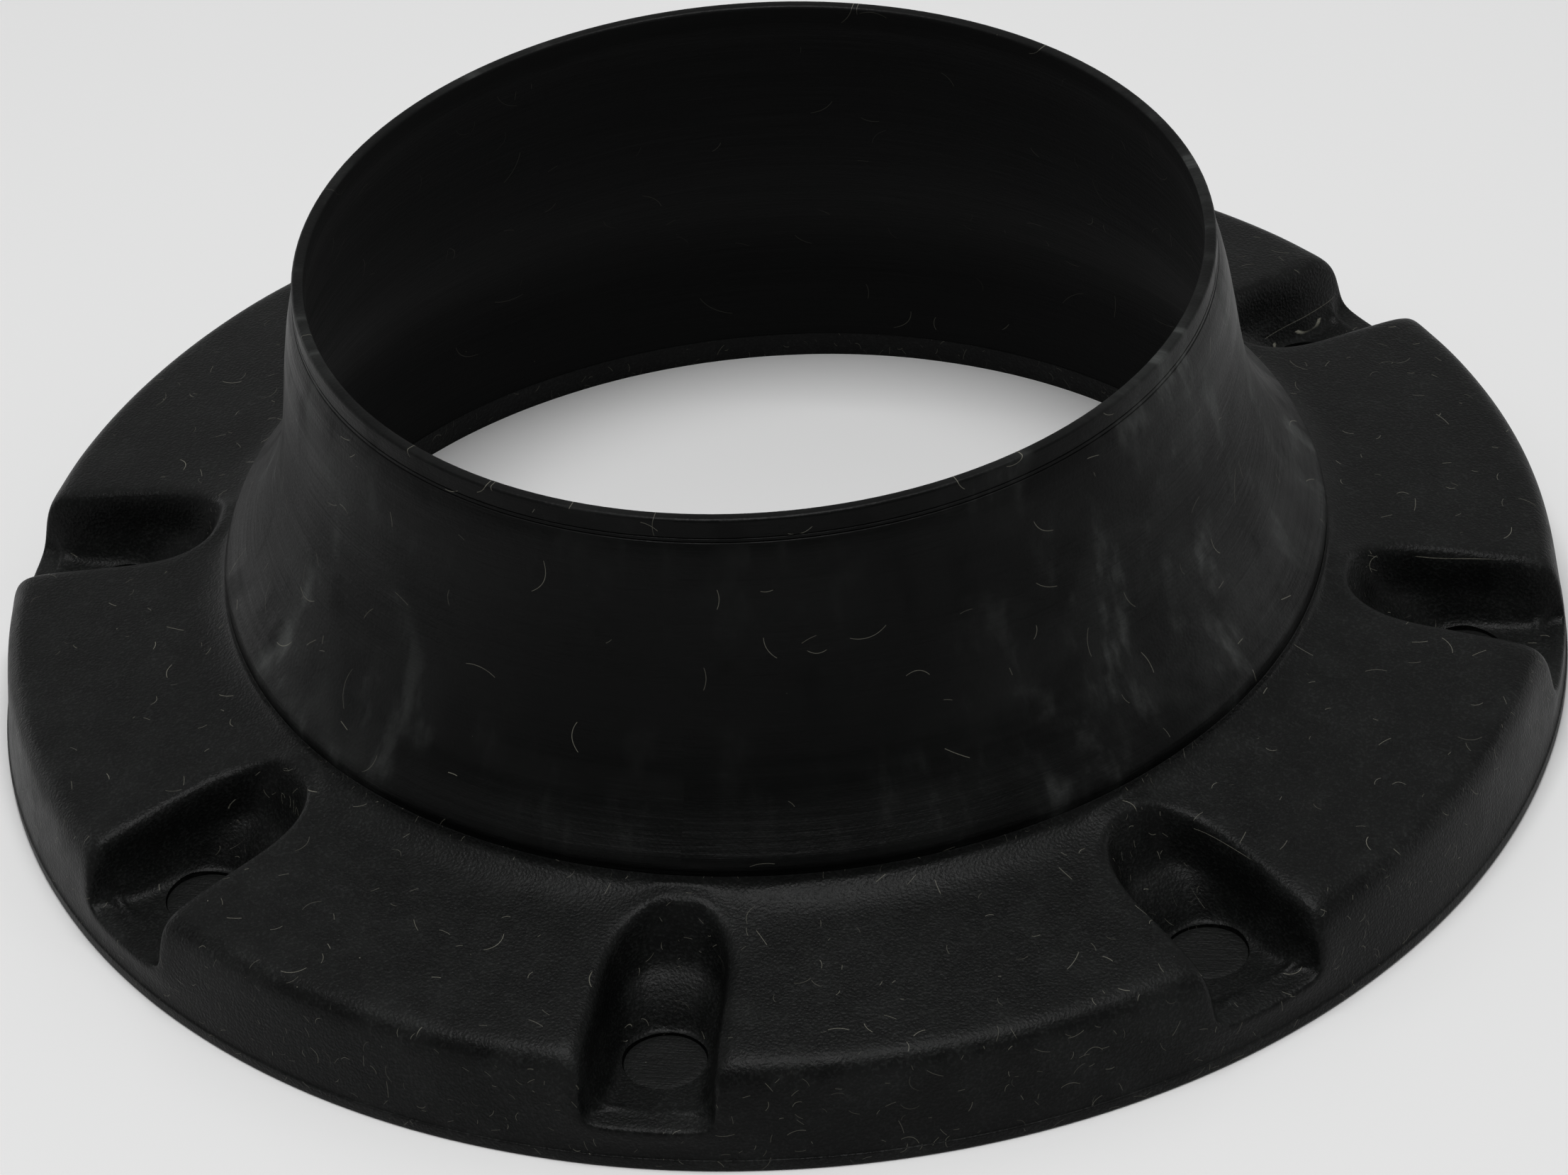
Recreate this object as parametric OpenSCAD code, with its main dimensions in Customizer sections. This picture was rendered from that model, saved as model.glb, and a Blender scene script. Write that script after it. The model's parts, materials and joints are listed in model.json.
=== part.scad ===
// Toilet floor flange: a moulded rubber flange ring with a thin flared neck.
// The base stands on Z = 0, centred on the origin, and the neck points up (+Z).
// A bolt pocket lies on the +X axis, and the others follow at equal angles.

/* [Flange ring] */
// Diameter of the base
flange_d = 175; // [165:0.5:215]
// Height of the crease where the neck leaves the flange
crease_h = 18; // [16:0.1:22]
// Height of the flange top just outside the crease fillet
shoulder_h = 15.2; // [13.8:0.1:15.9]
// Height of the flange top at its outer edge, before it rolls over
edge_h = 12.7; // [11:0.1:13.5]
// Width of the fillet between crease and flange top
crease_fillet = 4; // [2:0.1:4.5]
// Radius of the rolled outer edge
edge_roll = 2.5; // [1.5:0.1:4]
// How far the skirt leans in from the base to the rolled edge
skirt_lean = 1; // [0.5:0.1:2]
// Height of the flat land at the foot of the skirt
base_land_h = 1.4; // [0.8:0.1:2]
// How far the land stands proud of the skirt
base_land_step = 0.2; // [0.1:0.05:0.4]

/* [Neck] */
// Overall height of the part
overall_h = 55.5; // [46:0.1:70]
// Outside diameter of the neck at its rim
neck_od = 100; // [85:0.5:102]
// Thickness of the neck wall
neck_wall = 1.4; // [1:0.1:2.2]
// Height of the straight land below the rim
rim_land_h = 2.8; // [2:0.1:5]
// How far the neck stands proud below the rim land
rim_land_step = 0.3; // [0.1:0.05:0.4]
// Diameter of the crease, where the flared neck meets the flange
crease_d = 122; // [118:0.5:124]
// Radius of the bulge above the crease
bulge_r = 2; // [1:0.1:3]
// Lean of the neck just below the rim land, in degrees
neck_taper = 16.5; // [8:0.5:18]
// Lean of the flare where it runs into the bulge, in degrees
flare_lean = 45; // [38:0.5:48]
// Depth of the lip under the foot of the neck
foot_lip_h = 3; // [2:0.1:5]

/* [Bolt pockets] */
// Number of bolt pockets
bolt_count = 8; // [4:1:8]
// Diameter of the bolt circle
bolt_circle_d = 152.4; // [148:0.1:156]
// Height of the pocket floor
pocket_floor_h = 5.2; // [4.8:0.1:6.5]
// Radius of the pocket's round inner end, at the floor
pocket_end_r = 5.6; // [5.2:0.1:6.2]
// Distance from the bolt to the centre of the round inner end
pocket_end_offset = 4.6; // [4:0.1:5.5]
// Draft of the pocket walls, in degrees
pocket_draft = 10; // [4:0.5:11]
// Angle by which each side wall opens outward, in degrees
pocket_flare = 5.7; // [2:0.1:8]

/* [Bolt bushes] */
// Diameter of the bolt hole in each steel bush
bolt_hole_d = 7; // [5.5:0.1:7.6]
// Outside diameter of the bush body
bush_body_d = 10; // [9.2:0.1:10.4]
// Diameter of the bush head
bush_head_d = 13; // [12:0.1:14]
// Thickness of the bush head
bush_head_h = 1.5; // [1:0.1:1.8]
// Break on the rim of the bush head and on the mouth of its hole
bush_break = 0.3; // [0.2:0.05:0.4]

/* [Stiffening ring] */
// Thickness of the ring
ring_t = 1.2; // [0.8:0.1:1.4]
// Height of the underside of the ring above the base
ring_lift = 1; // [0.9:0.1:1.3]
// Inside diameter of the ring
ring_id = 132; // [130:0.5:138]
// Outside diameter of the ring
ring_od = 168; // [164:0.5:169]
// Gap all round the bush body in its hole in the ring
ring_hole_clear = 0.05; // [0.03:0.01:0.1]

/* [Knock-out discs] */
// Diameter of each disc
disc_d = 8.8; // [8:0.1:9.2]
// How far the top of a disc lies below the pocket floor
disc_sink = 0.25; // [0.1:0.05:0.4]
// Gap all round the disc
disc_gap = 0.2; // [0.1:0.05:0.3]
// Chamfer round the top of the disc
disc_chamfer = 0.15; // [0.1:0.05:0.2]

/* [Seal grooves] */
// Width of the two grooves in the base
groove_w = 1.8; // [1:0.1:2]
// Depth of the grooves
groove_depth = 0.6; // [0.3:0.1:0.7]
// Distance from the foot bore to the inner groove
inner_groove_in = 2.2; // [1.5:0.1:3]
// Distance from the base edge to the outer groove
outer_groove_in = 2.6; // [2:0.1:3]

/* [Hidden] */
$fn = 96;
curve_steps = 18;
arc_steps = 6;
over = 1;
// The straight walls start this far inside the round end, so they cross it cleanly.
pocket_wall_inset = 0.05;
// Angle below the horizontal at which the bulge meets the crease.
bulge_tuck = 15;
// Each share is the part of the flare's drop over which it keeps the lean of that end.
taper_share = 0.30;
flare_share = 0.29;

flange_r = flange_d / 2;
crease_r = crease_d / 2;
foot_bore_r = crease_r - neck_wall;
bolt_r = bolt_circle_d / 2;
bolt_pitch = 360 / bolt_count;
land_r = neck_od / 2;
land_bottom = overall_h - rim_land_h;
bush_head_bottom = ring_lift + ring_t;
bush_top = bush_head_bottom + bush_head_h;
disc_top = pocket_floor_h - disc_sink;
// Side of a bush: out from its body under the head, up the head, and in over the broken edge.
bush_steps = [
    [bush_body_d / 2, bush_head_bottom], [bush_head_d / 2, bush_head_bottom],
    [bush_head_d / 2, bush_top - bush_break], [bush_head_d / 2 - bush_break, bush_top]];

// A unit step in the profile plane, at an angle above the outward direction.
function toward(angle) = [cos(angle), sin(angle)];

// Points of an arc in the profile plane: centre, radius, start and end angle.
function arc(centre, r, from, to) =
    [for (i = [0:arc_steps]) centre + r * toward(from + (to - from) * i / arc_steps)];

// One point of a cubic curve with four control points.
function cubic(p, t) =
    p[0] * pow(1 - t, 3) + 3 * p[1] * t * pow(1 - t, 2) + 3 * p[2] * t * t * (1 - t) + p[3] * pow(t, 3);

// Unit direction of that curve.
function cubic_dir(p, t) =
    let (d = (p[1] - p[0]) * pow(1 - t, 2) + 2 * (p[2] - p[1]) * t * (1 - t) + (p[3] - p[2]) * t * t)
    d / norm(d);

// The neck's outside, from the rim land down: it widens at once, runs nearly straight, flares
// out, and ends in a round bulge that tucks back in to the crease.
bulge_c = [crease_r, crease_h] - bulge_r * toward(-bulge_tuck);
flare_top = [land_r + rim_land_step, land_bottom];
flare_end = bulge_c + bulge_r * toward(flare_lean);
flare_drop = flare_top[1] - flare_end[1];
flare_curve = [
    flare_top,
    flare_top + flare_drop * taper_share * [tan(neck_taper), -1],
    flare_end + flare_drop * flare_share * [-tan(flare_lean), 1],
    flare_end];
flare_out = [for (i = [0:curve_steps]) cubic(flare_curve, i / curve_steps)];
// The inside keeps one wall thickness away from the outside.
flare_in = [for (i = [0:curve_steps])
    let (d = cubic_dir(flare_curve, i / curve_steps))
    flare_out[i] + neck_wall * [d[1], -d[0]]];

// The flange top outside the crease: fillet, gentle slope, rolled edge, leaning skirt.
fillet_c = [crease_r + crease_fillet, crease_h];
fillet_drop = crease_h - shoulder_h;
fillet_points = [for (i = [0:arc_steps])
    fillet_c - [crease_fillet * cos(90 * i / arc_steps), fillet_drop * sin(90 * i / arc_steps)]];
skirt_r = flange_r - base_land_step;
roll_c = [skirt_r - skirt_lean - edge_roll, edge_h - edge_roll];

module at_bolt(i) {
    rotate([0, 0, (i - 1) * bolt_pitch]) translate([bolt_r, 0, 0]) children();
}

module at_each_bolt() {
    for (i = [1:bolt_count]) at_bolt(i) children();
}

module flange_blank() {
    rotate_extrude() polygon(concat(
        [[foot_bore_r, 0], [foot_bore_r, foot_lip_h], [crease_r, foot_lip_h]],
        fillet_points,
        arc(roll_c, edge_roll, 85, 4),
        [[skirt_r, base_land_h], [flange_r, base_land_h], [flange_r, 0]]));
}

// One pocket, drawn with the bolt at the origin and the flange's edge towards +X.
module pocket_cut() {
    cut_h = crease_h - pocket_floor_h + over;
    spread = cut_h * tan(pocket_draft);
    wall_w = pocket_end_r - pocket_wall_inset;
    reach = flange_r - bolt_r + pocket_end_offset + over;
    translate([-pocket_end_offset, 0, pocket_floor_h]) {
        cylinder(h = cut_h, r1 = pocket_end_r, r2 = pocket_end_r + spread);
        for (side = [-1, 1])
            rotate([90, 0, 90 + side * pocket_flare])
                linear_extrude(height = reach)
                    polygon([[-wall_w, 0], [wall_w, 0], [wall_w + spread, cut_h], [-wall_w - spread, cut_h]]);
    }
}

module bush_outline() {
    rotate_extrude() polygon(concat([[0, 0], [bush_body_d / 2, 0]], bush_steps, [[0, bush_top]]));
}

// The room for one bush and its disc, from below the base to above the pocket floor.
module bolt_way() {
    mouth_r = disc_d / 2 + disc_gap;
    rotate_extrude() polygon(concat(
        [[0, -over], [bush_body_d / 2, -over]],
        bush_steps,
        [[mouth_r, bush_top], [mouth_r, pocket_floor_h + over], [0, pocket_floor_h + over]]));
}

module ring_blank() {
    translate([0, 0, ring_lift]) difference() {
        cylinder(h = ring_t, d = ring_od);
        translate([0, 0, -over]) cylinder(h = ring_t + 2 * over, d = ring_id);
    }
}

module base_groove(inside_r) {
    rotate_extrude() translate([inside_r, -over]) square([groove_w, groove_depth + over]);
}

module flange_moulding() {
    color("#2b2d2c") difference() {
        flange_blank();
        at_each_bolt() pocket_cut();
        at_each_bolt() bolt_way();
        ring_blank();
        base_groove(foot_bore_r + inner_groove_in);
        base_groove(flange_r - outer_groove_in - groove_w);
    }
}

module neck_sleeve() {
    color("#333534") rotate_extrude() polygon(concat(
        [[land_r - neck_wall, overall_h], [land_r, overall_h], [land_r, land_bottom]],
        flare_out,
        arc(bulge_c, bulge_r, flare_lean, -bulge_tuck),
        [[crease_r, foot_lip_h], [foot_bore_r, foot_lip_h], [foot_bore_r, bulge_c[1]]],
        [for (i = [0:curve_steps]) flare_in[curve_steps - i]],
        [[land_r - neck_wall, land_bottom]]));
}

module stiffening_ring() {
    color("#9a9c9e") difference() {
        ring_blank();
        at_each_bolt() cylinder(h = crease_h, d = bush_body_d + 2 * ring_hole_clear);
    }
}

module bolt_bush(i) {
    color("#b0b2b4") at_bolt(i) difference() {
        bush_outline();
        translate([0, 0, -over]) cylinder(h = bush_top + 2 * over, d = bolt_hole_d);
        translate([0, 0, -over])
            cylinder(h = over + bush_break, d1 = bolt_hole_d + 2 * (over + bush_break), d2 = bolt_hole_d);
    }
}

module knockout_disc(i) {
    color("#3a3c3b") at_bolt(i) translate([0, 0, bush_top]) {
        disc_h = disc_top - bush_top;
        cylinder(h = disc_h - disc_chamfer, d = disc_d);
        translate([0, 0, disc_h - disc_chamfer])
            cylinder(h = disc_chamfer, d1 = disc_d, d2 = disc_d - 2 * disc_chamfer);
    }
}

flange_moulding();
neck_sleeve();
stiffening_ring();
for (i = [1:bolt_count]) {
    bolt_bush(i);
    knockout_disc(i);
}
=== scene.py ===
import json
import math

import bmesh
import bpy
from mathutils import Matrix, Vector


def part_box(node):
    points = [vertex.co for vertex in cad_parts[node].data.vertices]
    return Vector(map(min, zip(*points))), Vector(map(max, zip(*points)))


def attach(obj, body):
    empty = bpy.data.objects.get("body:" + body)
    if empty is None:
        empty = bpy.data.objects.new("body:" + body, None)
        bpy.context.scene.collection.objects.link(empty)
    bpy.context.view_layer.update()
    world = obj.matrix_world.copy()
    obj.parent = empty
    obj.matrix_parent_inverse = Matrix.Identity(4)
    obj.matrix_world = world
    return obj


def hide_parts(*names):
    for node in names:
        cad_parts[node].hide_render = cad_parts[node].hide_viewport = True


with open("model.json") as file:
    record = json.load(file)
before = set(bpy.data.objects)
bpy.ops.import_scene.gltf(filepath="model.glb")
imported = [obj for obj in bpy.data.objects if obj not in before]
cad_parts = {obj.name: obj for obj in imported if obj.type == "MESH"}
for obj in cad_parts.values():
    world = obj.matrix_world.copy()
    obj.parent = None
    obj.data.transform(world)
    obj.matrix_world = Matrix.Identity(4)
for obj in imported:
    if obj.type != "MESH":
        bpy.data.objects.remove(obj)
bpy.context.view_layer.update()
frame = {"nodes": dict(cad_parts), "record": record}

# ---------------------------------------------------------------- sizes, in metres
mm = 0.001
mounts = {mount["name"]: mount for mount in frame["record"]["mounts"]}
flange_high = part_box("flange_moulding")[1]
neck_low, neck_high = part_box("neck_sleeve")
ring_low, ring_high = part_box("stiffening_ring")
bush_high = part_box("bolt_bush_1")[1]
disc_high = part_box("knockout_disc_1")[1]

base_r = flange_high.x
crease_z = flange_high.z
bolt_r = mounts["bolt_circle"]["dims"]["pcd_mm"] * mm / 2
bolt_count = mounts["bolt_circle"]["dims"]["count"]
rim_r = mounts["neck_rim"]["dims"]["r_mm"] * mm
rim_bore_r = mounts["neck_bore"]["dims"]["r_mm"] * mm
neck_wall = rim_r - rim_bore_r
rim_land_h = mounts["neck_rim"]["dims"]["length_mm"] * mm
rim_z = neck_high.z
foot_z = neck_low.z
bush_head_r = bush_high.y
bush_top = bush_high.z
disc_r = disc_high.y
disc_top = disc_high.z

# Flange
crease_r = 61 * mm
fillet_w = 4 * mm
shoulder_z = 15.2 * mm
edge_z = 12.7 * mm
edge_roll = 2.5 * mm
skirt_lean = 1 * mm
land_h = 1.4 * mm
land_step = 0.2 * mm
groove_w = 1.8 * mm
groove_deep = 0.6 * mm
inner_groove_r = 61.8 * mm
outer_groove_r = base_r - 4.4 * mm
floor_z = 5.2 * mm
bush_body_r = 5 * mm
ring_outer_r = ring_high.x
ring_inner_r = 66 * mm
# The bush heads sit on the steel ring.
bush_head_z = ring_high.z
disc_mouth_r = disc_r + 0.1 * mm

# Bolt pockets
pocket_rows = [61.5 * mm, 64 * mm, 67 * mm, 71 * mm, 75.5 * mm, 79.5 * mm, 82.6 * mm]
pocket_turn = math.radians(12)
pocket_columns = 4
side_columns = 4
pocket_sill_z = 2.8 * mm
pocket_rim_w = 1.8 * mm
pocket_rim_drop = 0.7 * mm
pocket_centre_r = 81 * mm
# The inner end of the pocket is drawn round. Each corner, by its row and its column from the
# middle, moves to a place in millimetres along and across the pocket.
pocket_rounding = {(0, 1): (61.45, 2.5), (0, 2): (62.5, 4.8), (1, 1): (64.2, 3.1), (1, 2): (65.3, 6.8),
                   (2, 1): (67.4, 3.7), (2, 2): (68.2, 8.0), (3, 2): (71.7, 8.35), (4, 2): (75.9, 8.5)}
# Each step down closes in along and across the pocket, and leaves a share of its depth.
pocket_steps = [(0.97, 0.985, 0.88), (0.90, 0.965, 0.65), (0.843, 0.95, 0.44), (0.77, 0.93, 0.37),
                (0.697, 0.885, 0.284), (0.601, 0.80, 0.126), (0.55, 0.70, 1e-6)]
# The walls are what lies further than this to each side, above the floor and from the axis.
pocket_wall_y = 5.2 * mm
pocket_wall_h = 2 * mm
pocket_wall_r = 64 * mm
pocket_smoothing = 4

# Neck
rim_land_step = 0.3 * mm
rim_round = 0.4 * mm
bulge_r = 2 * mm
bulge_tuck = math.radians(15)
neck_taper = math.radians(16.5)
flare_lean = math.radians(45)
taper_share = 0.30
flare_share = 0.29
flare_steps = 26
# Inside, the straight foot starts this far below the bulge, and the flare's last steps run into it.
foot_below_bulge = 6 * mm
foot_blend = 5
foot_blend_reach = 4 * mm
# Rows of the inside wall just under the rim, measured down from it.
rim_rows = [2.2 * mm, 1.5 * mm]

# Discs
disc_bevel = 0.12 * mm
disc_dish = 0.06 * mm
disc_insets = [1.2 * mm, 1.6 * mm]

# How many flats each turned shape has.
neck_flats = 160
ring_way_flats = 96
bolt_way_flats = 48

weld = 0.004 * mm
margin = mm
sharp_angle = math.radians(40)
full_turn = 2 * math.pi
sector = full_turn / bolt_count
bore_r = crease_r - neck_wall
skirt_r = base_r - land_step
roll_r = skirt_r - skirt_lean - edge_roll
roll_z = edge_z - edge_roll


# ---------------------------------------------------------------- ways of working
def toward(angle):
    """A unit step in a profile, at an angle above the outward direction."""
    return Vector((math.cos(angle), math.sin(angle)))


def start_piece(name, add, **settings):
    """Adds a primitive with nothing else selected, puts its origin at the centre, and opens it."""
    bpy.ops.object.select_all(action="DESELECT")
    add(**settings)
    piece = bpy.context.active_object
    piece.name = piece.data.name = name
    bpy.ops.object.transform_apply(location=True, rotation=True, scale=True)
    bpy.ops.object.mode_set(mode="EDIT")
    return piece


def close_piece():
    """Welds the open piece, points its faces outwards and leaves edit mode."""
    bpy.ops.mesh.select_mode(type="VERT")
    bpy.ops.mesh.select_all(action="SELECT")
    bpy.ops.mesh.remove_doubles(threshold=weld)
    bpy.ops.mesh.normals_make_consistent(inside=False)
    bpy.ops.object.mode_set(mode="OBJECT")


def middle(face):
    return sum((v.co for v in face.verts), Vector()) / len(face.verts)


def radius(place):
    return math.hypot(place.x, place.y)


def azimuth(place):
    return math.atan2(place.y, place.x)


def pick(piece, kind, test):
    """Selects the open piece's vertices, edges or faces that pass the test."""
    bpy.ops.mesh.select_mode(type=kind)
    bpy.ops.mesh.select_all(action="DESELECT")
    shape = bmesh.from_edit_mesh(piece.data)
    parts = {"VERT": shape.verts, "EDGE": shape.edges, "FACE": shape.faces}[kind]
    found = [part for part in parts if test(part)]
    for part in found:
        part.select_set(True)
    shape.select_flush_mode()
    bmesh.update_edit_mesh(piece.data)
    return [part.index for part in found]


def draw_profile(name, stops, around):
    """A closed outline through the stops, each a radius and a height, at an angle around the axis."""
    across = Vector((math.cos(around), math.sin(around), 0))
    up = Vector((0, 0, 1))
    first = stops[0]
    piece = start_piece(name, bpy.ops.mesh.primitive_plane_add, size=mm,
                        location=across * first[0] + up * first[1])
    bpy.ops.mesh.merge(type="CENTER")
    here = first
    for stop in [*stops[1:], first]:
        step = across * (stop[0] - here[0]) + up * (stop[1] - here[1])
        bpy.ops.mesh.extrude_vertices_move(TRANSFORM_OT_translate={"value": step})
        here = stop
    bpy.ops.mesh.select_all(action="SELECT")
    bpy.ops.mesh.remove_doubles(threshold=weld)
    return piece


def spin_profile(angle, steps):
    """Turns the selected outline round the axis."""
    bpy.ops.mesh.spin(steps=steps, angle=angle, center=(0, 0, 0), axis=(0, 0, 1))


def turned(name, stops, steps):
    """A closed body turned from an outline."""
    piece = draw_profile(name, stops, 0)
    spin_profile(full_turn, steps)
    close_piece()
    return piece


def only(piece):
    """Selects one finished piece and nothing else."""
    bpy.ops.object.select_all(action="DESELECT")
    piece.select_set(True)
    bpy.context.view_layer.objects.active = piece


def apply_modifier(piece, kind, **settings):
    modifier = piece.modifiers.new(kind.title(), kind)
    for key, value in settings.items():
        setattr(modifier, key, value)
    only(piece)
    bpy.ops.object.modifier_apply(modifier=modifier.name)


def cut_with(piece, cutter):
    """Cuts one piece with another and deletes the cutter."""
    apply_modifier(piece, "BOOLEAN", object=cutter, operation="DIFFERENCE", solver="EXACT")
    bpy.data.objects.remove(cutter)


def smooth(piece):
    """Shades a piece smooth, apart from its sharp corners."""
    only(piece)
    bpy.ops.object.shade_smooth_by_angle(angle=sharp_angle)


# ---------------------------------------------------------------- flange ring
def top_z(r):
    """Height of the flange's top at a radius: a fillet from the crease, then a gentle slope."""
    out = (r - crease_r) / fillet_w
    if out < 1:
        return crease_z - (crease_z - shoulder_z) * math.sqrt(1 - (1 - out) ** 2)
    roll_top = Vector((roll_r, roll_z)) + edge_roll * toward(math.radians(85))
    share = (r - crease_r - fillet_w) / (roll_top.x - crease_r - fillet_w)
    return shoulder_z + share * (roll_top.y - shoulder_z)


def skirt_at(z):
    """Radius of the leaning skirt at a height."""
    share = (z - land_h) / (roll_z - land_h)
    return skirt_r - share * skirt_lean


def flange_stops():
    """The ring's cross-section, from the crease out over the top, down the skirt and back under."""
    lip = [(crease_r, crease_z - 0.2 * mm), (crease_r + 0.12 * mm, crease_z - 0.3 * mm)]
    top = [(r, top_z(r)) for r in [crease_r + 0.25 * mm, *pocket_rows]]
    roll = [Vector((roll_r, roll_z)) + edge_roll * toward(math.radians(a)) for a in (83, 60, 36, 8)]
    skirt = [(skirt_at(z), z) for z in (8 * mm, 5.4 * mm, pocket_sill_z, land_h + 0.35 * mm)]
    land = [(skirt_r, land_h + 0.04 * mm), (base_r - 0.05 * mm, land_h), (base_r, land_h - 0.1 * mm),
            (base_r, 0.14 * mm), (base_r - 0.14 * mm, 0)]
    under = [(outer_groove_r + groove_w, 0), (outer_groove_r + groove_w, groove_deep),
             (outer_groove_r, groove_deep), (outer_groove_r, 0),
             (inner_groove_r + groove_w, 0), (inner_groove_r + groove_w, groove_deep),
             (inner_groove_r, groove_deep), (inner_groove_r, 0)]
    bore = [(bore_r, 0), (bore_r, foot_z), (crease_r, foot_z)]
    return lip + top + roll + skirt + land + under + bore


def on_sharp_edge(edge):
    """True for the ring edges that stay square: the seal grooves' and the bore's corners."""
    corners = [(r, z) for r in (outer_groove_r, outer_groove_r + groove_w, inner_groove_r,
                                inner_groove_r + groove_w) for z in (0, groove_deep)]
    corners += [(bore_r, 0), (bore_r, foot_z), (crease_r, foot_z)]
    return any(all(math.hypot(radius(v.co) - r, v.co.z - z) < 2 * weld for v in edge.verts)
               for r, z in corners)


def shape_pocket(ring):
    """Sinks the bolt pocket on +X into the open sector of the ring, and softens its walls."""
    column = pocket_turn / pocket_columns

    def in_pocket(face):
        at = middle(face)
        outer_skin = radius(at) > pocket_rows[0] and at.z > pocket_sill_z
        return outer_skin and abs(azimuth(at)) < pocket_turn / 2

    pocket = set(pick(ring, "FACE", in_pocket))
    for (row, side), (x, y) in pocket_rounding.items():
        for turn in {-side, side}:
            r, around = pocket_rows[row], turn * column
            old = Vector((r * math.cos(around), r * math.sin(around), top_z(r)))
            place = Vector((x, y * (1 if turn >= 0 else -1))) * mm
            new = place.to_3d() + Vector((0, 0, top_z(place.length)))
            pick(ring, "VERT", lambda v: (v.co - old).length < 5 * weld)
            bpy.ops.transform.translate(value=new - old)
    pick(ring, "FACE", lambda face: face.index in pocket)
    bpy.ops.mesh.inset(thickness=pocket_rim_w, depth=-pocket_rim_drop, use_even_offset=True)
    last = Vector((1, 1, 1))
    for step in pocket_steps:
        bpy.ops.mesh.extrude_region_move()
        change = [now / before for now, before in zip(step, last)]
        bpy.ops.transform.resize(value=change, center_override=(pocket_centre_r, 0, floor_z))
        last = Vector(step)

    def on_wall_or_mouth(vert):
        inside = abs(azimuth(vert.co)) < pocket_turn / 2 + 0.1 * column
        high = vert.co.z > floor_z + pocket_wall_h
        wall = abs(vert.co.y) > pocket_wall_y and high and radius(vert.co) > pocket_wall_r
        mouth = radius(vert.co) > roll_r and vert.co.z > floor_z - margin
        return inside and (wall or mouth)

    pick(ring, "VERT", on_wall_or_mouth)
    bpy.ops.mesh.vertices_smooth(factor=0.5, repeat=pocket_smoothing)


def bolt_way_cutter():
    """Stepped plugs the shape of a bush with its disc's mouth above it, one at each bolt."""
    stops = [(0, -margin), (bush_body_r, -margin), (bush_body_r, bush_head_z),
             (bush_head_r, bush_head_z), (bush_head_r, bush_top), (disc_mouth_r, bush_top),
             (disc_mouth_r, floor_z + margin), (0, floor_z + margin)]
    cutter = draw_profile("bolt_ways", stops, 0)
    spin_profile(full_turn, bolt_way_flats)
    bpy.ops.mesh.select_all(action="SELECT")
    bpy.ops.transform.translate(value=(bolt_r, 0, 0))
    repeat_round_axis()
    close_piece()
    return cutter


def repeat_round_axis():
    """Copies everything in the open piece to the other bolt places."""
    bpy.ops.mesh.select_all(action="SELECT")
    bpy.ops.mesh.spin(steps=bolt_count - 1, dupli=True, angle=sector * (bolt_count - 1),
                      center=(0, 0, 0), axis=(0, 0, 1))


def make_flange_ring():
    """One bolt pocket's share of the ring is modelled round +X, then repeated round the axis."""
    ring = draw_profile("flange_ring", flange_stops(), sector / 2)
    side_turn = (sector - pocket_turn) / 2
    spin_profile(side_turn, side_columns)
    spin_profile(pocket_turn, pocket_columns)
    spin_profile(side_turn, side_columns)
    shape_pocket(ring)
    repeat_round_axis()
    bpy.ops.mesh.select_all(action="SELECT")
    bpy.ops.mesh.remove_doubles(threshold=weld)
    pick(ring, "EDGE", on_sharp_edge)
    bpy.ops.transform.edge_crease(value=1)
    close_piece()
    apply_modifier(ring, "SUBSURF", levels=2, render_levels=2)
    ring_way = [(ring_inner_r, ring_low.z), (ring_outer_r, ring_low.z),
                (ring_outer_r, ring_high.z), (ring_inner_r, ring_high.z)]
    cut_with(ring, turned("ring_way", ring_way, ring_way_flats))
    cut_with(ring, bolt_way_cutter())
    smooth(ring)
    apply_modifier(ring, "WEIGHTED_NORMAL", keep_sharp=True, mode="FACE_AREA")
    return ring


ring = make_flange_ring()
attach(ring, "root")
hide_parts("flange_moulding")


# ---------------------------------------------------------------- neck
def arc(centre, r, start, end, steps):
    """Points round part of a circle in a profile."""
    return [centre + r * toward(start + (end - start) * i / steps) for i in range(steps + 1)]


def cubic(points, t):
    """A point of a cubic curve and the direction it runs in."""
    a, b, c, d = points
    place = a * (1 - t) ** 3 + b * 3 * t * (1 - t) ** 2 + c * 3 * t * t * (1 - t) + d * t ** 3
    along = (b - a) * (1 - t) ** 2 + (c - b) * 2 * t * (1 - t) + (d - c) * t * t
    return place, along.normalized()


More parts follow.
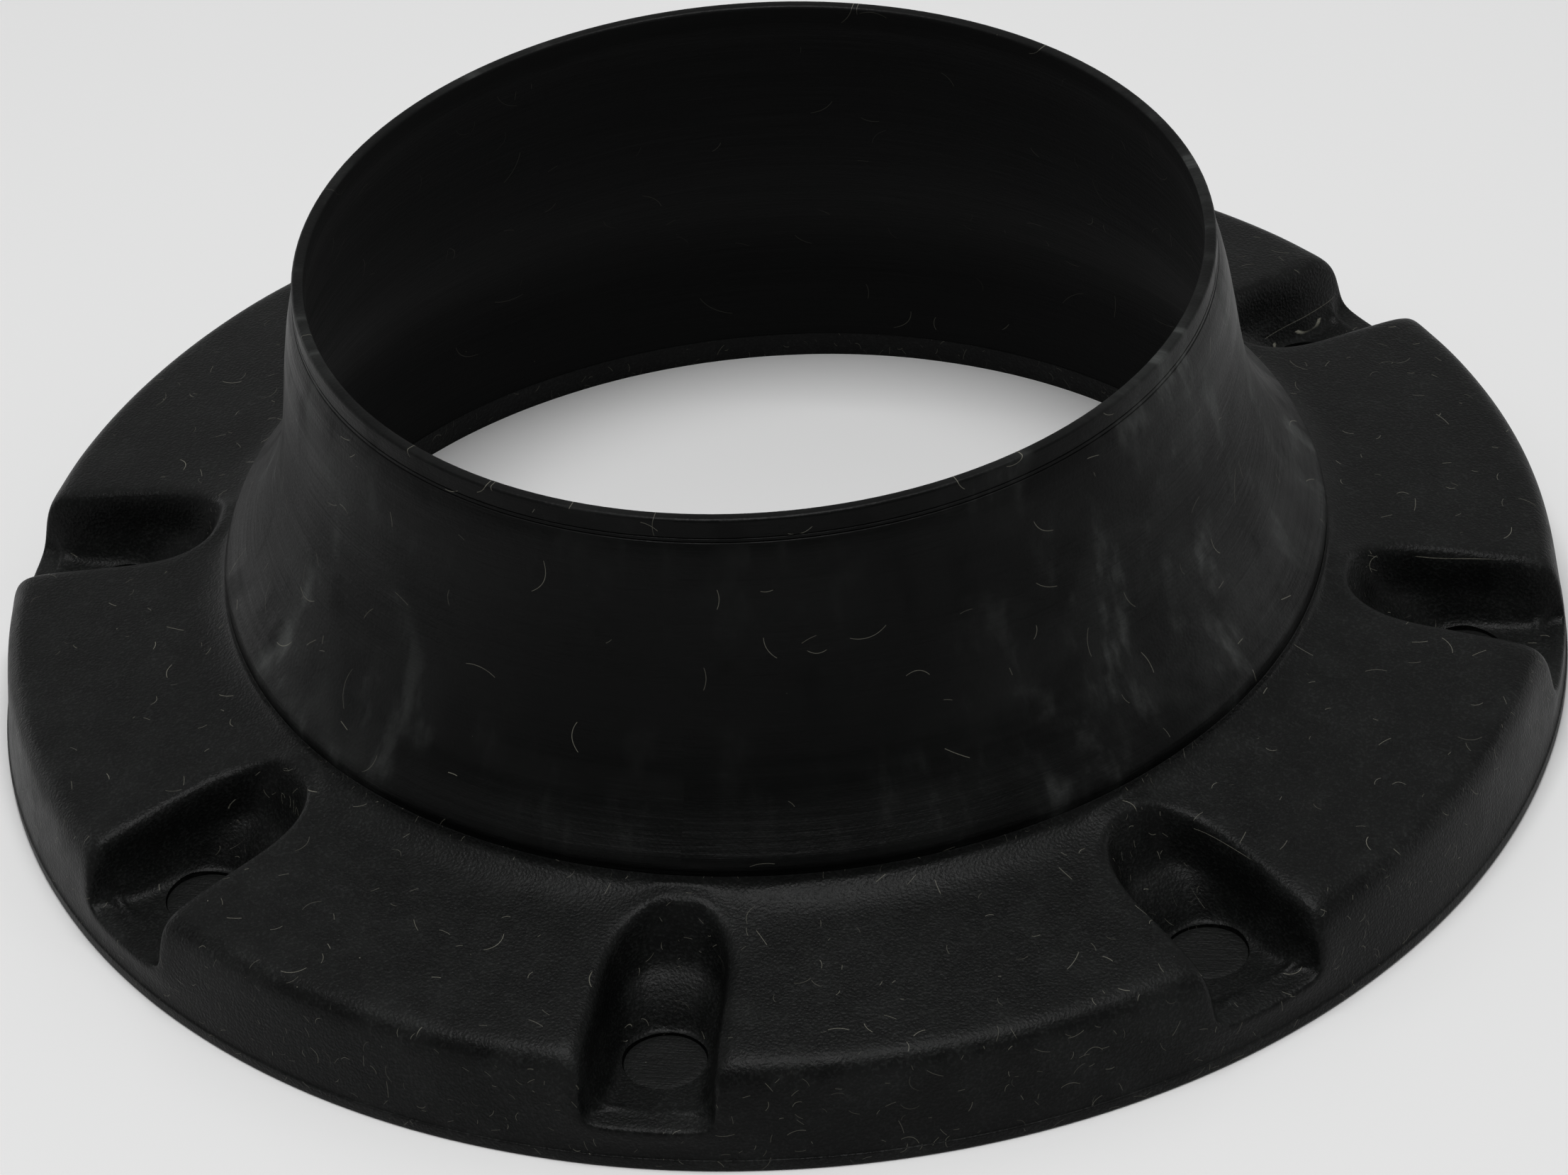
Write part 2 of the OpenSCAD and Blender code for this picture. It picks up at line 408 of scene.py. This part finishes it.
def neck_stops():
    """The neck's wall: over the rim, down the outside to its foot, and back up the inside."""
    bulge = Vector((crease_r, crease_z)) - bulge_r * toward(-bulge_tuck)
    flare_start = Vector((rim_r + rim_land_step, rim_z - rim_land_h))
    flare_end = bulge + bulge_r * toward(flare_lean)
    drop = flare_start.y - flare_end.y
    curve = [flare_start, flare_start + drop * taper_share * Vector((math.tan(neck_taper), -1)),
             flare_end + drop * flare_share * Vector((-math.tan(flare_lean), 1)), flare_end]
    run = [cubic(curve, i / flare_steps) for i in range(flare_steps + 1)]
    outside = [place for place, along in run]
    inside = [place + neck_wall * Vector((along.y, -along.x)) for place, along in run]
    rim = arc(Vector((rim_bore_r + rim_round, rim_z - rim_round)), rim_round,
              math.pi, math.pi / 2, 4)
    rim += arc(Vector((rim_r - rim_round, rim_z - rim_round)), rim_round, math.pi / 2, 0, 4)
    # The trim line: two fine scores round the outside, just above the step to the neck.
    line_z = rim_z - rim_land_h
    scores = [(rim_r, line_z + 0.56 * mm), (rim_r - 0.18 * mm, line_z + 0.48 * mm),
              (rim_r + 0.02 * mm, line_z + 0.38 * mm), (rim_r + 0.08 * mm, line_z + 0.12 * mm),
              (rim_r - 0.1 * mm, line_z + 0.03 * mm), (rim_r + 0.14 * mm, line_z - 0.08 * mm)]
    tuck = arc(bulge, bulge_r, flare_lean, -bulge_tuck, 8)[1:]
    foot = [(crease_r, foot_z), (bore_r, foot_z), (bore_r, bulge.y - foot_below_bulge)]
    last, along = inside[-foot_blend], run[-foot_blend][1]
    blend = [last, last + foot_blend_reach * along, Vector((bore_r, bulge.y - mm)), Vector(foot[-1])]
    sweep = [cubic(blend, i / 8)[0] for i in range(7, 0, -1)]
    land = [(rim_bore_r, rim_z - row) for row in rim_rows]
    return rim + scores + outside[1:] + tuck + foot + sweep + inside[-foot_blend::-1] + land


neck = turned("rubber_neck", neck_stops(), neck_flats)
smooth(neck)
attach(neck, "root")
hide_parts("neck_sleeve")


# ---------------------------------------------------------------- knock-out discs
def make_disc(number):
    """A thin round disc with a softened rim and a slight dish, resting on its bush."""
    around = (number - 1) * sector
    disc = start_piece(f"knockout_{number}", bpy.ops.mesh.primitive_cylinder_add, vertices=64,
                       radius=disc_r, depth=disc_top - bush_top, end_fill_type="NGON",
                       location=(bolt_r, 0, (disc_top + bush_top) / 2))
    pick(disc, "EDGE", lambda e: all(v.co.z > disc_top - weld for v in e.verts))
    bpy.ops.mesh.bevel(offset=disc_bevel, segments=2, affect="EDGES")
    pick(disc, "FACE", lambda f: middle(f).z > disc_top - weld)
    for step in disc_insets:
        bpy.ops.mesh.inset(thickness=step)
    bpy.ops.transform.translate(value=(0, 0, -disc_dish))
    bpy.ops.mesh.poke()
    bpy.ops.mesh.select_all(action="SELECT")
    bpy.ops.transform.rotate(value=-around, orient_axis="Z", center_override=(0, 0, 0))
    close_piece()
    smooth(disc)
    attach(disc, "root")
    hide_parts(f"knockout_disc_{number}")
    return disc


discs = [make_disc(number + 1) for number in range(bolt_count)]


# ---------------------------------------------------------------- finishes
rubber_gloss = 0.09
lint_cream = (0.20, 0.195, 0.16, 1)

flange_black = (0.0032, 0.0034, 0.0033, 1)
flange_mottle = (0.0042, 0.0045, 0.0043, 1)
flange_dust = (0.022, 0.0235, 0.0225, 1)
flange_grit = (0.016, 0.017, 0.0165, 1)
flange_relief = 0.07 * mm

neck_black = (0.002, 0.0022, 0.0021, 1)
neck_lines = (0.003, 0.0032, 0.0031, 1)
# Pale bloom, also laid on thick at the neck's left and right sides as a painted sheen.
neck_bloom_and_sheen = (0.055, 0.058, 0.056, 1)
neck_relief = 0.06 * mm

disc_black = (0.003, 0.0032, 0.0031, 1)
disc_scores = (0.0095, 0.010, 0.0096, 1)
disc_crumbs = (0.2, 0.2, 0.17, 1)
disc_relief = 0.12 * mm

ring_tone = 0.46
bush_tone = 0.52
dull_zinc = (0.30, 0.30, 0.29, 1)
steel_relief = 0.01 * mm


class Wiring:
    """Short ways of adding and joining nodes in one node tree."""

    def __init__(self, tree):
        self.tree = tree

    def node(self, kind, inputs=None, **settings):
        made = self.tree.nodes.new("ShaderNode" + kind)
        for key, value in settings.items():
            setattr(made, key, value)
        for key, value in (inputs or {}).items():
            if isinstance(value, bpy.types.NodeSocket):
                self.tree.links.new(value, made.inputs[key])
            else:
                made.inputs[key].default_value = value
        return made

    def math(self, operation, *values):
        return self.node("Math", dict(enumerate(values)), operation=operation).outputs[0]

    def join(self, source, target):
        self.tree.links.new(source, target)

    def flipped(self, share):
        return self.math("SUBTRACT", 1.0, share)

    def part(self, vector, axis):
        """One coordinate of a place or a direction."""
        return self.node("SeparateXYZ", {0: vector}).outputs[axis]

    def spread(self, value, low, high, to_low=0.0, to_high=1.0):
        """Eases a value from one range into another."""
        made = self.node("MapRange", {"Value": value, "From Min": low, "From Max": high,
                                      "To Min": to_low, "To Max": to_high},
                         interpolation_type="SMOOTHSTEP")
        return made.outputs["Result"]

    def noise(self, vector, scale, detail, roughness):
        made = self.node("TexNoise", {"Vector": vector, "Scale": scale, "Detail": detail,
                                      "Roughness": roughness})
        return made.outputs["Fac"]

    def blend(self, share, first, second):
        """A colour between two colours."""
        made = self.node("Mix", {0: share, 6: first, 7: second}, data_type="RGBA")
        return made.outputs[2]


def new_effect(name, inputs, outputs):
    """An empty node group. Returns it with its wiring and the sockets that it is given and gives."""
    group = bpy.data.node_groups.new(name, "ShaderNodeTree")
    for label, kind, start in inputs:
        socket = group.interface.new_socket(name=label, in_out="INPUT",
                                            socket_type="NodeSocket" + kind)
        if start is not None:
            socket.default_value = start
    for label, kind in outputs:
        group.interface.new_socket(name=label, in_out="OUTPUT",
                                   socket_type="NodeSocket" + kind)
    wiring = Wiring(group)
    given = group.nodes.new("NodeGroupInput")
    result = group.nodes.new("NodeGroupOutput")
    return group, wiring, given.outputs, result.inputs


def effect(wiring, group, **inputs):
    """Places an effect in a material with its own values."""
    return wiring.node("Group", inputs, node_tree=group).outputs


def make_wrap():
    """Unrolls a round wall: distance round it and height, with the ends meeting on -Y."""
    group, w, given, result = new_effect(
        "unrolled_wall", [("Place", "Vector", None), ("Radius", "Float", 0.08)],
        [("Flat", "Vector"), ("Distance", "Float")])
    parts = w.node("SeparateXYZ", {0: given["Place"]}).outputs
    angle = w.math("ARCTAN2", parts["X"], parts["Y"])
    round_it = w.math("MULTIPLY", angle, given["Radius"])
    flat = w.node("CombineXYZ", {"X": round_it, "Y": parts["Z"]}).outputs[0]
    level = w.node("CombineXYZ", {"X": parts["X"], "Y": parts["Y"]}).outputs[0]
    distance = w.node("VectorMath", {0: level}, operation="LENGTH").outputs["Value"]
    w.join(flat, result["Flat"])
    w.join(distance, result["Distance"])
    return group


def make_lint():
    """Short curved threads, one to a cell, lying on a flattened surface."""
    group, w, given, result = new_effect(
        "lint", [("Flat", "Vector", None), ("Spacing", "Float", 0.003), ("Length", "Float", 0.4),
                 ("Width", "Float", 0.02), ("Share", "Float", 0.3), ("Seed", "Float", 0.0)],
        [("Mask", "Float")])
    seed = w.node("CombineXYZ", {"X": given["Seed"], "Y": given["Seed"]}).outputs[0]
    closeness = w.math("DIVIDE", 1.0, given["Spacing"])
    scaled = w.node("VectorMath", {0: given["Flat"], 3: closeness}, operation="SCALE").outputs[0]
    place = w.node("VectorMath", {0: scaled, 1: seed}, operation="ADD").outputs[0]
    cell = w.node("TexVoronoi", {"Vector": place, "Scale": 1.0, "Randomness": 0.9},
                  voronoi_dimensions="2D", feature="F1")
    dice = w.node("SeparateColor", {0: cell.outputs["Color"]}).outputs
    gap = w.node("VectorMath", {0: place, 1: cell.outputs["Position"]}, operation="SUBTRACT")
    lie = w.math("MULTIPLY", dice["Red"], full_turn)
    turned_gap = w.node("VectorRotate", {"Vector": gap.outputs[0], "Angle": lie},
                        rotation_type="Z_AXIS")
    parts = w.node("SeparateXYZ", {0: turned_gap.outputs[0]}).outputs
    bow = w.math("MULTIPLY", w.math("SUBTRACT", dice["Green"], 0.5), 3.2)
    curve = w.math("MULTIPLY", bow, w.math("MULTIPLY", parts["X"], parts["X"]))
    off_line = w.math("ABSOLUTE", w.math("SUBTRACT", parts["Y"], curve))
    reach = w.math("MULTIPLY", given["Length"], w.math("MULTIPLY_ADD", dice["Blue"], 0.8, 0.2))
    along = w.math("ABSOLUTE", parts["X"])
    line = w.spread(off_line, given["Width"], w.math("MULTIPLY", given["Width"], 0.3))
    ends = w.math("LESS_THAN", along, reach)
    other = w.node("TexWhiteNoise", {"Vector": cell.outputs["Position"]}, noise_dimensions="2D")
    kept = w.math("LESS_THAN", other.outputs["Value"], given["Share"])
    pale = w.math("MULTIPLY", kept, w.math("MULTIPLY_ADD", dice["Green"], 0.7, 0.3))
    w.join(w.math("MULTIPLY", line, w.math("MULTIPLY", ends, pale)), result["Mask"])
    return group


def make_specks():
    """Small round crumbs of dust, one to a cell."""
    group, w, given, result = new_effect(
        "specks", [("Place", "Vector", None), ("Spacing", "Float", 0.003), ("Size", "Float", 0.05),
                   ("Share", "Float", 0.3)], [("Mask", "Float")])
    closeness = w.math("DIVIDE", 1.0, given["Spacing"])
    cell = w.node("TexVoronoi", {"Vector": given["Place"], "Scale": closeness},
                  voronoi_dimensions="3D", feature="F1")
    dice = w.node("SeparateColor", {0: cell.outputs["Color"]}).outputs
    kept = w.math("LESS_THAN", dice["Red"], given["Share"])
    size = w.math("MULTIPLY", given["Size"], w.math("MULTIPLY_ADD", dice["Green"], 0.8, 0.4))
    dot = w.spread(cell.outputs["Distance"], size, w.math("MULTIPLY", size, 0.5))
    w.join(w.math("MULTIPLY", dot, kept), result["Mask"])
    return group


def make_skin():
    """The fine pebbled skin of moulded rubber, with a broader mottle over it."""
    group, w, given, result = new_effect(
        "moulded_skin", [("Place", "Vector", None), ("Pebble", "Float", 0.0004)],
        [("Height", "Float"), ("Mottle", "Float")])
    fine = w.math("DIVIDE", 1.0, given["Pebble"])
    pebbles = w.noise(given["Place"], fine, 2.0, 0.6)
    cells = w.node("TexVoronoi", {"Vector": given["Place"], "Scale": w.math("MULTIPLY", fine, 0.8)},
                   feature="F1", voronoi_dimensions="3D").outputs["Distance"]
    broad = w.noise(given["Place"], w.math("MULTIPLY", fine, 0.12), 4.0, 0.65)
    w.join(w.math("MULTIPLY_ADD", cells, 0.5, pebbles), result["Height"])
    w.join(w.spread(broad, 0.35, 0.65), result["Mottle"])
    return group


def make_haze():
    """Cloudy grey bloom, as rubber gets on its skin."""
    group, w, given, result = new_effect(
        "bloom", [("Place", "Vector", None), ("Size", "Float", 0.01), ("From", "Float", 0.5),
                  ("To", "Float", 0.7)], [("Mask", "Float")])
    cloud = w.noise(given["Place"], w.math("DIVIDE", 1.0, given["Size"]), 5.0, 0.6)
    w.join(w.spread(cloud, given["From"], given["To"]), result["Mask"])
    return group


def new_material(name):
    material = bpy.data.materials.new(name)
    material.use_nodes = True
    wiring = Wiring(material.node_tree)
    surface = material.node_tree.nodes["Principled BSDF"]
    place = wiring.node("TexCoord").outputs["Object"]
    return material, wiring, surface, place


def dress(pieces, material):
    for piece in pieces:
        piece.data.materials.clear()
        piece.data.materials.append(material)


def layers_of_lint(w, flat, coarse, fine):
    """Two layers of threads, each given as a spacing, a length, a width, a share and a seed."""
    names = ("Spacing", "Length", "Width", "Share", "Seed")
    first, second = [effect(w, LINT, Flat=flat, **dict(zip(names, layer)))
                     for layer in (coarse, fine)]
    return w.math("MAXIMUM", first["Mask"], second["Mask"])


def finish_surface(w, surface, colour, rough, relief, deep):
    """Gives a surface its colour, its roughness and its fine relief."""
    w.join(colour, surface.inputs["Base Color"])
    w.join(rough, surface.inputs["Roughness"])
    bump = w.node("Bump", {"Height": relief, "Distance": deep, "Strength": 1.0})
    w.join(bump.outputs[0], surface.inputs["Normal"])


def rubber_flange():
    material, w, surface, place = new_material("flange_rubber")
    skin = effect(w, SKIN, Place=place, Pebble=0.3 * mm)
    wall = effect(w, WRAP, Place=place, Radius=base_r)
    facing = w.math("ABSOLUTE", w.part(w.node("NewGeometry").outputs["Normal"], "Z"))
    level = w.spread(facing, 0.5, 0.75)
    lint_top = layers_of_lint(w, place, (2.1 * mm, 0.36, 0.018, 0.10, 3.0),
                              (4.3 * mm, 0.34, 0.012, 0.22, 7.0))
    lint_wall = layers_of_lint(w, wall["Flat"], (1.7 * mm, 0.38, 0.022, 0.28, 11.0),
                               (2.9 * mm, 0.38, 0.015, 0.35, 5.0))
    lint = w.math("ADD", w.math("MULTIPLY", lint_top, level),
                  w.math("MULTIPLY", lint_wall, w.flipped(level)))
    crumbs = effect(w, SPECKS, Place=place, Spacing=3 * mm, Size=0.03, Share=0.3)["Mask"]
    dust = effect(w, HAZE, Place=place, Size=7 * mm, From=0.42, To=0.7)["Mask"]
    # The skirt, which gets handled and stands on the floor, is dustier than the top.
    edge = w.spread(wall["Distance"], base_r - 6 * mm, base_r - 1.5 * mm)
    veil = w.math("MULTIPLY", dust, w.math("MULTIPLY_ADD", edge, 0.6, 0.4))
    # Grit lies on the tops of the pebbles.
    tops = w.spread(skin["Height"], 0.75, 1.0)
    grit = w.math("MULTIPLY", tops, w.math("MULTIPLY_ADD", veil, 0.6, 0.3))
    black = w.blend(skin["Mottle"], flange_black, flange_mottle)
    dusty = w.blend(w.math("MULTIPLY", veil, 0.25), black, flange_dust)
    gritty = w.blend(grit, dusty, flange_grit)
    litter = w.math("MULTIPLY", w.math("MAXIMUM", lint, crumbs), 0.65)
    colour = w.blend(litter, gritty, lint_cream)
    rough = w.math("MULTIPLY_ADD", veil, 0.08, w.math("MULTIPLY_ADD", skin["Mottle"], 0.05, 0.40))
    finish_surface(w, surface, colour, rough, skin["Height"], flange_relief)
    surface.inputs["Specular IOR Level"].default_value = rubber_gloss
    return material


def rubber_neck():
    material, w, surface, place = new_material("neck_rubber")
    skin = effect(w, SKIN, Place=place, Pebble=0.35 * mm)
    wall = effect(w, WRAP, Place=place, Radius=rim_r)
    # Lines round the neck: noise that changes quickly up the wall and slowly round it.
    squeezed = w.node("Mapping", {"Vector": wall["Flat"], "Scale": (0.03, 1.0, 1.0)}).outputs[0]
    lines = w.noise(squeezed, 1 / (0.5 * mm), 4.0, 0.7)
    broad_lines = w.spread(w.noise(squeezed, 1 / (2.6 * mm), 3.0, 0.6), 0.35, 0.65)
    # Wiped smears of bloom run up and down the wall.
    drawn_out = w.node("Mapping", {"Vector": wall["Flat"], "Scale": (1.0, 0.35, 1.0)}).outputs[0]
    smears = effect(w, HAZE, Place=drawn_out, Size=5 * mm, From=0.5, To=0.66)["Mask"]
    lint = layers_of_lint(w, wall["Flat"], (4 * mm, 0.34, 0.012, 0.12, 2.0),
                          (6 * mm, 0.36, 0.008, 0.2, 9.0))
    crumbs = effect(w, SPECKS, Place=place, Spacing=3.4 * mm, Size=0.025, Share=0.25)["Mask"]
    haze = effect(w, HAZE, Place=place, Size=14 * mm, From=0.4, To=0.7)["Mask"]
    # The inside is duller than the outside and gets less lint; it gets no bloom either, which keeps it
    # darker as painted shade inside the tube. Its face looks back at the axis.
    outward = w.node("VectorMath", {0: w.node("NewGeometry").outputs["Normal"], 1: place},
                     operation="DOT_PRODUCT").outputs["Value"]
    inside = w.spread(outward, 10 * mm, -10 * mm)
    outside = w.flipped(inside)
    # Bloom with painted sheen and shade: the pale bloom is laid on thick towards ±X, the neck's left
    # and right sides as the camera sees them, where it stands in for the grazing highlight; it is thin
    # in front and behind, and left off the inside as painted shade.
    side = w.math("ABSOLUTE", w.part(place, "X"))
    share = w.math("MULTIPLY", outside, w.spread(side, 20 * mm, 50 * mm, 0.12, 1.0))
    cloud = w.math("MULTIPLY", haze, w.math("MULTIPLY_ADD", smears, 0.8, 0.2))
    veil = w.math("MULTIPLY", share, cloud)
    black = w.blend(broad_lines, neck_black, neck_lines)
    # The pale colour laid on here is bloom and painted sheen.
    sheen_and_bloom = w.blend(veil, black, neck_bloom_and_sheen)
    litter = w.math("MULTIPLY", w.math("MAXIMUM", lint, crumbs),
                    w.math("MULTIPLY_ADD", outside, 0.4, 0.3))
    colour = w.blend(litter, sheen_and_bloom, lint_cream)
    lined = w.math("MULTIPLY_ADD", broad_lines, 0.05, w.math("MULTIPLY_ADD", lines, 0.25, 0.28))
    streaked = w.math("MULTIPLY_ADD", w.math("MULTIPLY", smears, outside), 0.12, lined)
    rough = w.math("MULTIPLY_ADD", inside, 0.3, streaked)
    relief = w.math("MULTIPLY_ADD", lines, 1.2, w.math("MULTIPLY", skin["Height"], 0.5))
    finish_surface(w, surface, colour, rough, relief, neck_relief)
    surface.inputs["Specular IOR Level"].default_value = rubber_gloss
    return material


def rubber_disc():
    material, w, surface, place = new_material("disc_rubber")
    skin = effect(w, SKIN, Place=place, Pebble=0.35 * mm)
    # Fine scoring, left where the mould's pins were dressed.
    scored = w.node("Mapping", {"Vector": place, "Rotation": (0, 0, 0.5), "Scale": (0.08, 1, 1)})
    scores = w.noise(scored.outputs[0], 1 / (0.3 * mm), 3.0, 0.7)
    crumbs = effect(w, SPECKS, Place=place, Spacing=2.4 * mm, Size=0.04, Share=0.3)["Mask"]
    black = w.blend(scores, disc_black, disc_scores)
    colour = w.blend(w.math("MULTIPLY", crumbs, 0.7), black, disc_crumbs)
    rough = w.math("MULTIPLY_ADD", scores, 0.15, 0.38)
    relief = w.math("ADD", scores, w.math("MULTIPLY", skin["Height"], 0.6))
    finish_surface(w, surface, colour, rough, relief, disc_relief)
    surface.inputs["Specular IOR Level"].default_value = rubber_gloss
    return material


def plated_steel(name, grain, tone):
    """Zinc-plated steel, with a grain that runs round the axis, and dull patches."""
    material, w, surface, place = new_material(name)
    wall = effect(w, WRAP, Place=place, Radius=bolt_r)
    strip = w.node("CombineXYZ", {"X": wall["Distance"], "Y": w.part(place, "Z")}).outputs[0]
    lines = w.noise(strip, 1 / grain, 4.0, 0.65)
    dull = effect(w, HAZE, Place=place, Size=4 * mm, From=0.4, To=0.8)["Mask"]
    bluish = (tone * 0.85, tone * 0.86, tone * 0.88, 1)
    bright = w.blend(lines, bluish, (tone, tone, tone, 1))
    colour = w.blend(w.math("MULTIPLY", dull, 0.5), bright, dull_zinc)
    rough = w.math("MULTIPLY_ADD", dull, 0.2, w.math("MULTIPLY_ADD", lines, 0.15, 0.22))
    finish_surface(w, surface, colour, rough, lines, steel_relief)
    surface.inputs["Metallic"].default_value = 1.0
    return material


WRAP = make_wrap()
LINT = make_lint()
SPECKS = make_specks()
SKIN = make_skin()
HAZE = make_haze()
dress([ring], rubber_flange())
dress([neck], rubber_neck())
dress(discs, rubber_disc())
dress([frame["nodes"]["stiffening_ring"]], plated_steel("ring_steel", 0.5 * mm, ring_tone))
bushes = [frame["nodes"][f"bolt_bush_{number + 1}"] for number in range(bolt_count)]
dress(bushes, plated_steel("bush_steel", 0.3 * mm, bush_tone))


# ---------------------------------------------------------------- floor, light and camera
floor_size = 6
floor_tone = 0.7
floor_rough = 0.9
light_aim = Vector((0, 0, 0.02))
# Each light: where it stands, how wide and high it is, and its power in watts.
overhead_light = ((0, -0.12, 0.9), 0.45, 0.35, 7)
left_light = ((-0.9, 0.55, 0.09), 0.6, 0.14, 0.8)
right_light = ((0.95, 0.55, 0.09), 0.6, 0.14, 0.8)

# The camera stands this far from the base's middle, raised and turned round it, and is then
# turned, dropped and rolled on the spot.
lens_mm = 166.6
nearest = 0.05
stand = 0.81534
rise = math.radians(36.984)
bearing = math.radians(11.816)
aim_turn = math.radians(-0.046)
aim_drop = math.radians(90 - 36.436)
aim_roll = math.radians(-4.439)

# How bright the room is in front of the object, behind it, and as the camera sees it.
room_front = 0.06
room_back = 0.42
room_seen = 0.55


def make_floor():
    bpy.ops.object.select_all(action="DESELECT")
    bpy.ops.mesh.primitive_plane_add(size=floor_size, location=(0, 0, 0))
    floor = bpy.context.active_object
    floor.name = "floor"
    material = bpy.data.materials.new("pale_floor")
    material.use_nodes = True
    surface = material.node_tree.nodes["Principled BSDF"]
    surface.inputs["Base Color"].default_value = (floor_tone, floor_tone, floor_tone, 1)
    surface.inputs["Roughness"].default_value = floor_rough
    floor.data.materials.append(material)


def make_light(name, place, width, height, power):
    """A soft box that points at the object and is not itself seen."""
    data = bpy.data.lights.new(name, "AREA")
    data.shape = "RECTANGLE"
    data.size = width
    data.size_y = height
    data.energy = power
    light = bpy.data.objects.new(name, data)
    bpy.context.scene.collection.objects.link(light)
    light.location = place
    light.visible_camera = False
    light.rotation_euler = (light_aim - Vector(place)).to_track_quat("-Z", "Y").to_euler()


def make_camera():
    data = bpy.data.cameras.new("camera")
    data.lens = lens_mm
    data.clip_start = nearest
    camera = bpy.data.objects.new("camera", data)
    bpy.context.scene.collection.objects.link(camera)
    place = Vector((0, -stand * math.cos(rise), stand * math.sin(rise)))
    camera.matrix_world = (
        Matrix.Rotation(bearing, 4, "Z") @ Matrix.Translation(place)
        @ Matrix.Rotation(aim_turn, 4, "Z") @ Matrix.Rotation(aim_drop, 4, "X")
        @ Matrix.Rotation(aim_roll, 4, "Z"))
    bpy.context.scene.camera = camera


def make_room():
    """Evenly bright overhead, behind and at the sides, and darker in front, where it is unlit."""
    world = bpy.data.worlds.new("room")
    world.use_nodes = True
    w = Wiring(world.node_tree)
    background = world.node_tree.nodes["Background"]
    towards = w.part(w.node("TexCoord").outputs["Generated"], "Y")
    lit = w.spread(towards, -0.9, 0.2, room_front, room_back)
    seen = w.math("MULTIPLY", w.node("LightPath").outputs["Is Camera Ray"], room_seen)
    w.join(w.math("MAXIMUM", lit, seen), background.inputs["Strength"])
    background.inputs["Color"].default_value = (1, 1, 1, 1)
    bpy.context.scene.world = world


make_floor()
make_light("overhead", *overhead_light)
make_light("left_side", *left_light)
make_light("right_side", *right_light)
make_camera()
make_room()
bpy.context.scene.view_settings.view_transform = "Standard"
